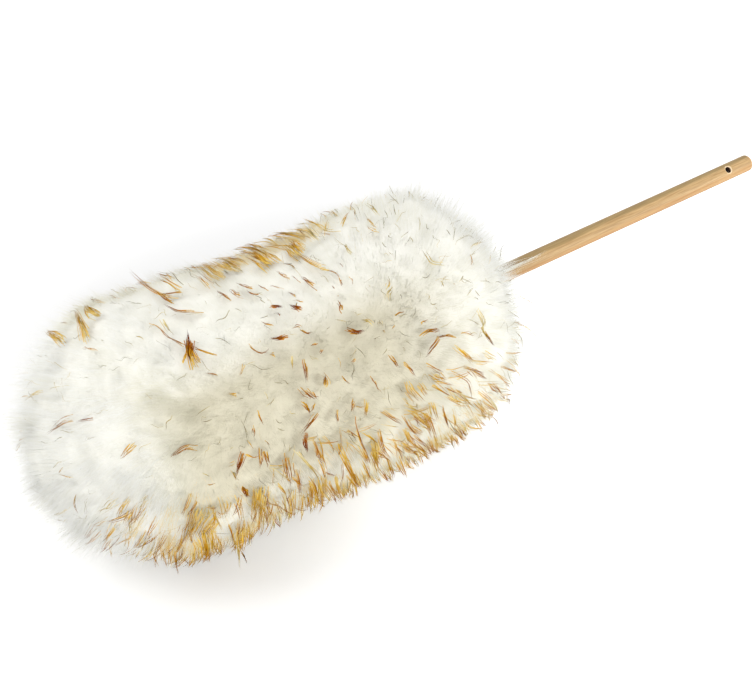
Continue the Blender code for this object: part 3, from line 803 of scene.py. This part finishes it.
def add_under_wool(head):
    """The closed body of wool below the nap, hollow where the hide and the dowel run."""
    around = BODY_AROUND
    shares = np.linspace(0.004, 0.996, BODY_RINGS)
    angle = np.arange(around) / around * math.tau
    grid_share, grid_angle = np.meshgrid(shares, angle, indexing="ij")
    points, normals = head.place(grid_share.ravel(), grid_angle.ravel(), head.length_share)
    dents = 0.0006 * smooth_noise(points, TUFTS)
    points = points - normals * (BODY_DEPTH - dents)[:, None]
    out = np.hypot(points[:, 1], points[:, 2] - AXIS_HEIGHT)
    outer = clear_of_core(rest_on_floor(points)).reshape(BODY_RINGS, around, 3)
    outside = out.reshape(BODY_RINGS, around).mean(1) > DOWEL_BORE_RADIUS + 0.001
    outer = outer[outside]

    neck_end = outer[-1, :, 0].mean()
    bore = [
        (neck_end, DOWEL_BORE_RADIUS),
        (BORE_STEP_X, DOWEL_BORE_RADIUS),
        (BORE_STEP_X, HIDE_BORE_RADIUS),
        (BORE_END_X, HIDE_BORE_RADIUS),
    ]
    circle = np.column_stack([np.cos(angle), np.sin(angle)])
    inner = [
        np.column_stack([np.full(around, x), circle[:, 0] * r, AXIS_HEIGHT + circle[:, 1] * r])
        for x, r in bore
    ]
    rows = np.concatenate([outer, np.array(inner)])
    row_count = len(rows)
    tip = outer[0].mean(0) - [0.0005, 0, 0]
    blind_end = [BORE_END_X, 0, AXIS_HEIGHT]
    vertices = np.concatenate([rows.reshape(-1, 3), [tip], [blind_end]])
    step = np.arange(around)
    after = (step + 1) % around
    faces = []
    for row in range(row_count - 1):
        a, b = row * around, (row + 1) * around
        faces += np.column_stack([a + step, a + after, b + after, b + step]).tolist()
    tip_index = row_count * around
    faces += np.column_stack([np.full(around, tip_index), after, step]).tolist()
    end = (row_count - 1) * around
    faces += np.column_stack([np.full(around, tip_index + 1), end + step, end + after]).tolist()
    mesh = bpy.data.meshes.new("under_wool")
    mesh.from_pydata(vertices.tolist(), [], faces)
    mesh.polygons.foreach_set("use_smooth", np.ones(len(mesh.polygons), bool))
    mesh.update()
    piece = add_piece("under_wool", mesh, body_material())
    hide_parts("fleece")


def nearest(points, centres):
    """The index of the centre nearest to each point."""
    tree = place_tree(centres)
    return np.array([tree.find(point)[1] for point in points])


def along_surface(vectors, normals):
    return vectors - (vectors * normals).sum(1, keepdims=True) * normals


def combing(points, normals):
    """Which way and how far the wool leans: away from its parting, and towards the ends."""
    angle = angle_round_axis(points)
    round_it = np.column_stack([np.zeros_like(angle), -np.sin(angle), np.cos(angle)])
    lean = LEAN_FROM_PARTING * round_it * np.sin(angle - PARTING_ANGLE)[:, None]
    x = points[:, 0]
    upper = smoothstep(0.15, 0.75, normals[:, 2])
    above = LEAN_TO_NECK * smoothstep(-0.08, 0.01, x) - LEAN_TO_TIP * smoothstep(-0.03, -0.11, x)
    below = LEAN_BELOW * np.clip((x + 0.17) / 0.06, -1, 1)
    lean[:, 0] += upper * above + (1 - upper) * below
    lean += SWEEP_SIZE * np.column_stack([smooth_noise(points, waves) for waves in SWEEPS])
    lean += SWIRL_SIZE * np.column_stack([smooth_noise(points, waves) for waves in SWIRLS])
    return along_surface(lean, normals)


def overhang(points, normals):
    """How far a place belongs to the fringe that hangs over the floor, from 0 to 1."""
    x = points[:, 0]
    length = smoothstep(-0.300, -0.245, x) * smoothstep(0.025, -0.03, x)
    return length * smoothstep(0.40, -0.10, normals[:, 2]) * smoothstep(-0.97, -0.75, normals[:, 2])


def nap_tint(points, normals):
    """The nap's tint and its golden share. It turns beige with painted shade through the middle, along
    the flank and where it hangs over, and both ends stay cool white.
    """
    x = points[:, 0]
    # Painted shade: the nap turns beige through the middle of the head and along its flank.
    middle = smoothstep(-0.25, -0.15, x) * smoothstep(0.035, -0.055, x)
    flank = smoothstep(0.95, 0.55, normals[:, 2])
    # Painted shade: a darker beige along the flank, between the top and the underside.
    painted_shade_band = smoothstep(-0.272, -0.225, x) * smoothstep(-0.01, -0.10, x)
    lower_end = -0.05 - 0.30 * smoothstep(-0.08, -0.16, x)
    painted_shade_band *= smoothstep(0.95, 0.70, normals[:, 2])
    painted_shade_band *= smoothstep(lower_end, lower_end + 0.4, normals[:, 2])
    below_tip = bell(x, -0.235, 0.035)
    thicket = smoothstep(-0.4, 0.8, smooth_noise(points, THICKETS))
    right_half = smoothstep(-0.17, -0.12, x) * smoothstep(0.0, -0.07, x)
    hanging = overhang(points, normals)
    golden = hanging * (0.10 + 0.38 * thicket + 0.22 * below_tip + 0.11 * right_half)
    golden = np.maximum(golden, 0.9 * crest(points))
    # Painted shade also where the wool hangs over the floor.
    cream = 0.03 + middle * (0.11 + 0.05 * flank) + 0.05 * hanging
    return cream + 0.45 * painted_shade_band, golden


def fibre_paths(roots, outward, lean, wave, steps):
    """Paths that leave the hide straight, lean over more and more, and wave along the way."""
    t = np.linspace(0, 1, steps + 1)[None, :, None]
    paths = roots[:, None] + outward[:, None] * t + lean[:, None] * t**2
    amplitude, phase, turns = wave
    swing = np.sin(phase[:, None, None] + math.tau * turns[:, None, None] * t)
    swing -= np.sin(phase)[:, None, None]
    return paths + amplitude[:, None] * swing * t


def random_waves(rng, count, size, turns):
    amplitude = rng.normal(size=(count, 3)) * size
    return amplitude, rng.uniform(0, math.tau, count), rng.uniform(0.6, 1.4, count) * turns


def add_nap(head):
    rng = np.random.default_rng(21)
    golden_angle = math.pi * (3 - math.sqrt(5))
    index = np.arange(LOCK_COUNT)
    lock_share = (index + 0.5 + rng.normal(0, 0.25, LOCK_COUNT)) / LOCK_COUNT
    lock_share = np.clip(lock_share, 0, 1)
    lock_angle = index * golden_angle + rng.normal(0, 0.03, LOCK_COUNT)
    lock_tips, _ = head.place(lock_share, lock_angle)
    lock_lift = rng.normal(0.0, LOCK_RISE, LOCK_COUNT)
    lock_lean = rng.normal(0, LOCK_LEAN, (LOCK_COUNT, 3))

    share = rng.uniform(0, 1, NAP_FIBRES)
    angle = rng.uniform(0, math.tau, NAP_FIBRES)
    tips, normals = head.place(share, angle)
    lock = nearest(tips, lock_tips)
    depth = NAP_ROOT_DEPTH * rng.uniform(0.85, 1.0, NAP_FIBRES)
    comb = combing(tips, normals)
    roots = tips - normals * depth[:, None] - comb
    to_lock = lock_tips[lock] - tips
    pull = rng.uniform(0.0, MOST_PULL, NAP_FIBRES)
    lean = comb + to_lock * pull[:, None] + lock_lean[lock]
    lean += rng.normal(0, NAP_MESS, (NAP_FIBRES, 3))
    at_tip = smoothstep(-0.235, -0.29, tips[:, 0])
    at_neck = smoothstep(-0.02, 0.02, tips[:, 0])
    stray = rng.exponential(0.0014 + 0.0036 * at_tip + 0.0048 * at_neck)
    stray = np.minimum(stray, 0.0085 + 0.007 * at_tip + 0.010 * at_neck)
    short = rng.uniform(0.0, 0.0030 + 0.003 * (at_tip + at_neck))
    lobe = smoothstep(-0.3, 1.3, smooth_noise(tips, LOBES)) * smoothstep(-0.21, -0.28, tips[:, 0])
    stray += LOBE_LENGTH * lobe
    outward = normals * (depth + lock_lift[lock] + stray - short)[:, None]
    wave = random_waves(rng, NAP_FIBRES, 0.0005, 1.2)
    paths = fibre_paths(roots, outward, lean, wave, NAP_STEPS)
    paths = rest_on_floor(clear_of_core(paths))

    tint, golden = nap_tint(tips, normals)
    tint = tint + rng.normal(0, 0.03, LOCK_COUNT)[lock] + rng.normal(0, 0.05, NAP_FIBRES)
    chance = 0.5 * rng.uniform(0, 1, LOCK_COUNT)[lock] + 0.5 * rng.uniform(0, 1, NAP_FIBRES)
    turned = chance < golden
    gold = rng.normal(0.87, 0.06, NAP_FIBRES)
    tint = np.clip(np.where(turned, gold, np.minimum(tint, 0.6)), 0, 1)
    facing = unit(normals + [0, 0, NAP_LIFT] + rng.normal(0, 0.12, (NAP_FIBRES, 3)))
    widths = taper(NAP_FIBRES, NAP_STEPS + 1, NAP_WIDTH, rng)

    material = nap_material()
    order = np.argsort(share, kind="stable")
    for number, chosen in enumerate(np.array_split(order, NAP_PIECES), 1):
        name = f"nap_{number}"
        columns = (column[chosen] for column in (paths, facing, widths, tint))
        add_piece(name, ribbon_mesh(name, *columns), material)


def hair_bundles(rng, spines, normals, clumps, crimp):
    """The hairs round each spine: paths, the way they face, and their tints.

    clumps is one Clump whose fields are a column each, or one number for all.
    """
    hairs, spread, tint, openness = np.broadcast_arrays(*clumps)
    owner = np.repeat(np.arange(len(spines)), hairs)
    total = len(owner)
    begin = rng.uniform(0.0, 0.35, total)
    end = rng.uniform(0.70, 1.0, total)
    t = np.linspace(0, 1, GUARD_STEPS + 1)
    along = begin[:, None] + (end - begin)[:, None] * t
    place = along * (spines.shape[1] - 1)
    low = np.minimum(place.astype(int), spines.shape[1] - 2)
    part = (place - low)[..., None]
    spine = spines[owner[:, None], low] * (1 - part) + spines[owner[:, None], low + 1] * part

    owned = normals[owner][:, None]
    side = unit(np.cross(unit(np.gradient(spine, axis=1)), owned))
    narrowing = openness[owner][:, None] + (1 - openness[owner][:, None]) * (1 - along) ** 0.8
    narrowing = (narrowing * spread[owner][:, None] + 0.00005)[..., None]
    paths = spine + side * narrowing * rng.normal(size=(total, 1, 1))
    paths += owned * narrowing * 0.4 * rng.normal(size=(total, 1, 1))
    splay = (1.5 * openness * spread)[owner] * rng.normal(size=total)
    paths += side * (splay[:, None] * along**2)[..., None]
    amplitude, phase, turns = random_waves(rng, total, crimp, 1.1)
    swing = np.sin(phase[:, None, None] + math.tau * turns[:, None, None] * t[None, :, None])
    paths += amplitude[:, None] * swing * along[..., None]
    paths = rest_on_floor(clear_of_core(paths))
    facing = unit(normals[owner] + rng.normal(0, 0.4, (total, 3)))
    tints = np.clip(tint[owner] + rng.normal(0, 0.085, total), 0, 1)
    return paths, facing, tints


def clump_spines(points, normals, lean, protrusion):
    """Spines that rise out of the nap and then lie over along it."""
    t = np.linspace(0, 1, SPINE_KNOTS)[None, :, None]
    rise = 1 - (1 - t) ** 1.8
    start = points - normals * SPINE_DEPTH - lean * 0.3
    out = normals * (SPINE_DEPTH + protrusion)[:, None]
    return start[:, None] + lean[:, None] * t**1.2 + out[:, None] * rise


def scattered(rng, head, count, density):
    """Random places on the head, kept as often as density says."""
    share = rng.uniform(0.005, 0.99, count)
    angle = rng.uniform(0, math.tau, count)
    points, normals = head.place(share, angle)
    wanted = rng.uniform(0, 1, count) < density(points, normals)
    wanted &= points[:, 2] > 0.003
    return points[wanted], normals[wanted]


def random_lean(rng, points, normals, mess, lengths):
    """Combed directions with some mess in them, of random lengths."""
    lean = unit(combing(points, normals) + rng.normal(0, mess, points.shape))
    return along_surface(lean, normals) * rng.uniform(*lengths, len(points))[:, None]


def fringe(rng, head):
    """Golden clumps that hang over the floor, and those of the crest."""

    def density(points, normals):
        thicket = smoothstep(-1.0, 0.7, smooth_noise(points, THICKETS))
        return overhang(points, normals) * (0.35 + 0.65 * thicket) + 0.9 * crest(points)

    points, normals = scattered(rng, head, FRINGE_TRIES, density)
    count = len(points)
    low = smoothstep(0.3, -0.5, normals[:, 2])
    lean = random_lean(rng, points, normals, 0.0028, (0.012, 0.022))
    protrusion = 0.0025 + 0.0035 * low + 0.0015 * crest(points)
    protrusion += rng.uniform(-0.0015, 0.0025, count)
    spines = clump_spines(points, normals, lean, protrusion)
    tint = rng.uniform(0.30, 0.80, count)
    hairs = rng.integers(2, 7, count)
    spread = rng.uniform(0.0006, 0.0020, count)
    openness = rng.uniform(0.0, 0.5, count)
    return spines, normals, Clump(hairs, spread, tint, openness)


def strewn(rng, head):
    """Darker clumps over the rest of the head, fewer where the seen ones already lie."""

    def density(points, normals):
        to_camera = unit(EYE - points)
        unseen = smoothstep(0.25, -0.10, (to_camera * normals).sum(1))
        ends = 1 - 0.6 * smoothstep(-0.20, -0.26, points[:, 0])
        return ends * (0.10 + 0.55 * unseen)

    points, normals = scattered(rng, head, STREWN_TRIES, density)
    count = len(points)
    lean = random_lean(rng, points, normals, 0.005, (0.005, 0.012))
    spines = clump_spines(points, normals, lean, rng.uniform(0.001, 0.003, count))
    at_neck = smoothstep(-0.06, -0.01, points[:, 0])
    tint = np.clip(rng.normal(0.66, 0.14, count) - 0.38 * at_neck, 0.1, 0.98)
    hairs = rng.integers(2, 6, count)
    spread = rng.uniform(0.0003, 0.0008, count)
    return spines, normals, Clump(hairs, spread, tint, openness=0.0)


def single_hairs(rng, head):
    """Thin grey and straw hairs that curve over the nap."""

    def density(points, normals):
        return 0.8 - 0.4 * smoothstep(-0.16, -0.24, points[:, 0])

    points, normals = scattered(rng, head, SINGLE_TRIES, density)
    count = len(points)
    lean = random_lean(rng, points, normals, 0.006, (0.007, 0.016))
    spines = clump_spines(points, normals, lean, rng.uniform(0.001, 0.004, count))
    hairs = rng.integers(1, 3, count)
    tint = rng.uniform(0.0, 0.32, count)
    return spines, normals, Clump(hairs, 0.0003, tint, openness=0.3)


def seen_clumps(seen_side):
    """The clumps that the photograph shows, laid on the wool under their pixels."""
    lift = np.interp(np.linspace(0, 1, SPINE_KNOTS), [0.0, 0.25, 1.0], [-0.002, 0.0018, 0.0028])
    spines, normals, clumps = [], [], []
    for kind, lines in SEEN_CLUMPS.items():
        for line in lines:
            marks = np.reshape(line, (-1, 2))
            places, faces = seen_side.at(smooth_line(marks, SPINE_KNOTS), lift)
            spines.append(places)
            normals.append(unit(faces.mean(0)))
            clumps.append(CLUMPS[kind])
    columns = (np.array(column) for column in zip(*clumps))
    return np.array(spines), np.array(normals), Clump(*columns)


def add_guard_hairs(head):
    """Each set of clumps, with its crimp in metres and its thickness as a share of the usual."""
    rng = np.random.default_rng(33)
    material = guard_material()
    sets = [
        ("fringe", fringe(rng, head), 0.0004, 1.1),
        ("strewn_clumps", strewn(rng, head), 0.0003, 1.0),
        ("single_hairs", single_hairs(rng, head), 0.0017, 0.6),
        ("flank_clumps", seen_clumps(SeenSide(head)), 0.0005, 1.15),
    ]
    for name, (spines, normals, clumps), crimp, thickness in sets:
        paths, facing, tints = hair_bundles(rng, spines, normals, clumps, crimp)
        widths = taper(len(paths), GUARD_STEPS + 1, thickness * GUARD_WIDTH, rng)
        add_piece(name, ribbon_mesh(name, paths, facing, widths, tints), material)


def add_neck_wisps(material):
    """White wisps that lie along the dowel where it leaves the wool, one of them long."""
    rng = np.random.default_rng(44)
    count = WISP_HAIRS
    long_ones = slice(0, LONG_WISP_HAIRS)
    angle = rng.uniform(0, math.tau, count)
    angle[long_ones] = LONG_WISP_ANGLE + rng.normal(0, 0.10, LONG_WISP_HAIRS)
    out = np.column_stack([np.zeros(count), np.cos(angle), np.sin(angle)])
    off_axis = rng.uniform(0.0075, 0.020, count)
    off_axis[long_ones] = 0.0072
    roots = out * off_axis[:, None] + [0, 0, AXIS_HEIGHT]
    roots[:, 0] = rng.uniform(0.004, 0.030, count)
    reach = np.minimum(rng.exponential(0.004, count) + 0.005, 0.024)
    ends = rng.uniform(0.085, LONG_WISP_END, LONG_WISP_HAIRS)
    reach[long_ones] = ends - roots[long_ones, 0]
    forward = reach[:, None] * np.array([1.0, 0.0, 0.0])
    spring = rng.normal(0.002, 0.003, count)
    spring[long_ones] = rng.uniform(0, 0.0008, LONG_WISP_HAIRS)
    wave = random_waves(rng, count, 0.0008, 0.8)
    paths = clear_of_core(fibre_paths(roots, forward, out * spring[:, None], wave, GUARD_STEPS))
    facing = unit(out + rng.normal(0, 0.2, (count, 3)))
    tints = np.clip(rng.normal(0.12, 0.08, count), 0, 1)
    widths = taper(count, GUARD_STEPS + 1, NAP_WIDTH, rng)
    add_piece("neck_wisps", ribbon_mesh("neck_wisps", paths, facing, widths, tints), material)


def wood_material():
    """Beech with lengthwise grain, painted shade in olive along its upper side, a painted orange
    reflection along its lower side, and painted shade inside the hanging hole.
    """
    material, tree, shader = new_material("beech")
    place = object_place(tree)
    fine = vector_node(tree, "MULTIPLY", place, (0.05, 1.0, 1.0))
    grain = noise_node(tree, fine, 1100, 5, 0.4)
    broad = noise_node(tree, fine, 330, 3, 0.2)
    colour = ramp_node(tree, [(0.25, (0.44, 0.285, 0.125)), (0.75, (0.57, 0.385, 0.185))], broad)
    lines = ramp_node(tree, [(0.38, (0.70, 0.63, 0.54)), (0.58, 1.0)], grain)
    colour = mix_node(tree, "MULTIPLY", 0.8, colour, lines)

    # Painted shade: olive along the upper side of the dowel, wandering with the grain.
    shaded_side = (-0.011, 0.695, 0.719)
    height = vector_node(tree, "SUBTRACT", place, (0.0, 0.0, AXIS_HEIGHT))
    across = vector_node(tree, "DOT_PRODUCT", height, shaded_side)
    wander = math_node(tree, "MULTIPLY_ADD", broad, 0.005, across)
    olive_shade = range_node(tree, wander, 0.0020, 0.0042)
    olive = two_tones(tree, grain, (0.24, 0.155, 0.055), (0.37, 0.25, 0.10))
    colour = mix_node(tree, "MIX", olive_shade, colour, olive)
    # Painted reflection: warm orange along the lower side of the dowel.
    reflection_edge = range_node(tree, wander, -0.0015, -0.0035)
    orange = two_tones(tree, broad, (0.38, 0.20, 0.07), (0.54, 0.33, 0.14))
    colour = mix_node(tree, "MIX", reflection_edge, colour, orange)

    butt = range_node(tree, axes_of(tree, place)["X"], BUTT_X - 0.0022, BUTT_X - 0.0008)
    end_grain = two_tones(tree, broad, (0.60, 0.36, 0.20), (0.72, 0.46, 0.28))
    colour = mix_node(tree, "MIX", butt, colour, end_grain)

    from_hole = vector_node(tree, "SUBTRACT", place, HOLE_CENTRE)
    drill = (0.0, -math.cos(HOLE_ANGLE), math.sin(HOLE_ANGLE))
    distance = vector_node(tree, "LENGTH", vector_node(tree, "CROSS_PRODUCT", from_hole, drill))
    rim = range_node(tree, distance, COUNTERSINK_RADIUS + 0.0001, COUNTERSINK_RADIUS - 0.0001)
    bare = two_tones(tree, grain, (0.72, 0.54, 0.33), (0.80, 0.62, 0.40))
    colour = mix_node(tree, "MIX", rim, colour, bare)
    # Painted shade: the hole's wall is near black.
    inside = range_node(tree, distance, HOLE_RADIUS + 0.0001, HOLE_RADIUS + 0.00003)
    hole_shade = two_tones(tree, grain, (0.030, 0.012, 0.006), (0.06, 0.025, 0.012))
    colour = mix_node(tree, "MIX", inside, colour, hole_shade)

    roughness = levels_node(tree, grain, 0.42, 0.62)
    set_surface(tree, shader, colour, roughness, specular=0.35)
    add_bump(tree, shader, grain, 0.25, 0.0003)
    return material


def hide_material():
    """Suede side of the sheepskin."""
    material, tree, shader = new_material("suede")
    place = object_place(tree)
    cloud = noise_node(tree, place, 120, 5, 0.8)
    nub = noise_node(tree, place, 1800, 4)
    colour = two_tones(tree, cloud, (0.47, 0.35, 0.22), (0.62, 0.49, 0.33))
    specks = ramp_node(tree, [(0.35, (0.80, 0.77, 0.72)), (0.6, 1.0)], nub)
    colour = mix_node(tree, "MULTIPLY", 0.7, colour, specks)
    set_surface(tree, shader, colour, roughness=0.9, specular=0.2, sheen=0.3)
    add_bump(tree, shader, nub, 0.5, 0.0003)
    return material


def tack_material():
    """Blued steel with fine brushing."""
    material, tree, shader = new_material("blued_steel")
    brushed = vector_node(tree, "MULTIPLY", object_place(tree), (1.0, 1.0, 0.1))
    lines = noise_node(tree, brushed, 6000, 4)
    colour = two_tones(tree, lines, (0.16, 0.16, 0.175), (0.25, 0.25, 0.265))
    shader.inputs["Metallic"].default_value = 1.0
    roughness = levels_node(tree, lines, 0.28, 0.48)
    set_surface(tree, shader, colour, roughness, specular=0.5)
    add_bump(tree, shader, lines, 0.1, 0.0001)
    return material


def dress_frame(frame):
    """Materials for the CAD nodes that stay."""
    hide = hide_material()
    steel = tack_material()
    materials = {"handle": wood_material(), "hide_strip": hide, "tip_disc": hide}
    for name, node in frame["nodes"].items():
        if name != "fleece":
            node.material_slots[0].material = materials.get(name, steel)


def add_camera():
    camera = add_object("camera", bpy.data.cameras.new("camera"))
    camera.data.lens = LENS_MM
    camera.data.sensor_width = SENSOR_MM
    camera.data.sensor_fit = "HORIZONTAL"
    camera.location = CAMERA_PLACE
    camera.rotation_euler = (math.pi / 2 - CAMERA_DIP, 0, -CAMERA_TURN)
    bpy.context.scene.camera = camera


def add_lamp(lamp):
    light = bpy.data.lights.new(lamp.name, "AREA")
    light.shape = "RECTANGLE"
    light.size, light.size_y = lamp.size
    light.energy = lamp.power
    holder = add_object(lamp.name, light)
    holder.location = lamp.place
    direction = np.array(lamp.target) - np.array(lamp.place)
    flat = math.hypot(direction[0], direction[1])
    tilt = math.atan2(flat, -direction[2])
    turn = math.atan2(direction[1], direction[0]) - math.pi / 2
    holder.rotation_euler = (tilt, 0, turn)


def add_world():
    world = bpy.data.worlds.new("studio")
    bpy.context.scene.world = world
    world.use_nodes = True
    tree = world.node_tree
    sky = tree.nodes["Background"]
    sky.inputs["Color"].default_value = (1.0, 1.0, 1.0, 1.0)
    set_input(tree, sky, "Strength", levels_node(tree, seen_share(tree), SKY_LIGHT, 1.0))


def floor_material():
    """White, with a soft painted shadow behind the head, and glowing a little where it is seen."""
    material, tree, shader = new_material("white_floor")
    place = object_place(tree)
    # Painted shadow: a darker white in a soft patch behind the head.
    shadow_patch_scale = tuple(1 / size for size in SHADOW_PATCH_SIZE)
    from_shadow_patch = vector_node(tree, "SUBTRACT", place, SHADOW_PATCH_CENTRE)
    scaled = vector_node(tree, "MULTIPLY", from_shadow_patch, shadow_patch_scale)
    shadow_patch = range_node(tree, vector_node(tree, "LENGTH", scaled), 1.0, 0.35)
    white = ramp_node(tree, [(0.0, FLOOR_WHITE), (1.0, SHADOW_PATCH_WHITE)], shadow_patch)
    set_surface(tree, shader, white, roughness=0.9, specular=0.0)

    axes = axes_of(tree, place)
    to_neck = range_node(tree, axes["X"], -0.20, -0.06)
    behind = range_node(tree, axes["Y"], 0.03, 0.14)
    far_off = range_node(tree, vector_node(tree, "LENGTH", place), 0.7, 2.0)
    glow = levels_node(tree, to_neck, GLOW_BELOW_TIP, GLOW_BELOW_NECK)
    glow = levels_node(tree, behind, glow, GLOW_BEHIND)
    glow = levels_node(tree, far_off, glow, GLOW_FAR_OFF)
    glow = math_node(tree, "MULTIPLY", seen_share(tree), glow)
    shader.inputs["Emission Color"].default_value = GLOW_COLOUR
    set_input(tree, shader, "Emission Strength", glow)
    return material


def add_floor():
    mesh = bpy.data.meshes.new("floor")
    half = FLOOR_HALF
    corners = [(-half, -half, 0), (half, -half, 0), (half, half, 0), (-half, half, 0)]
    mesh.from_pydata(corners, [], [(0, 1, 2, 3)])
    mesh.materials.append(floor_material())
    floor = add_object("floor", mesh)
    floor.location.z = -FLOOR_DROP


def main():
    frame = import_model()
    head = Head()
    add_camera()
    bpy.context.scene.view_settings.view_transform = "Standard"
    add_world()
    for lamp in LAMPS:
        add_lamp(lamp)
    add_floor()
    add_under_wool(head)
    add_nap(head)
    add_guard_hairs(head)
    add_neck_wisps(bpy.data.materials["cream_fibre"])
    dress_frame(frame)


main()
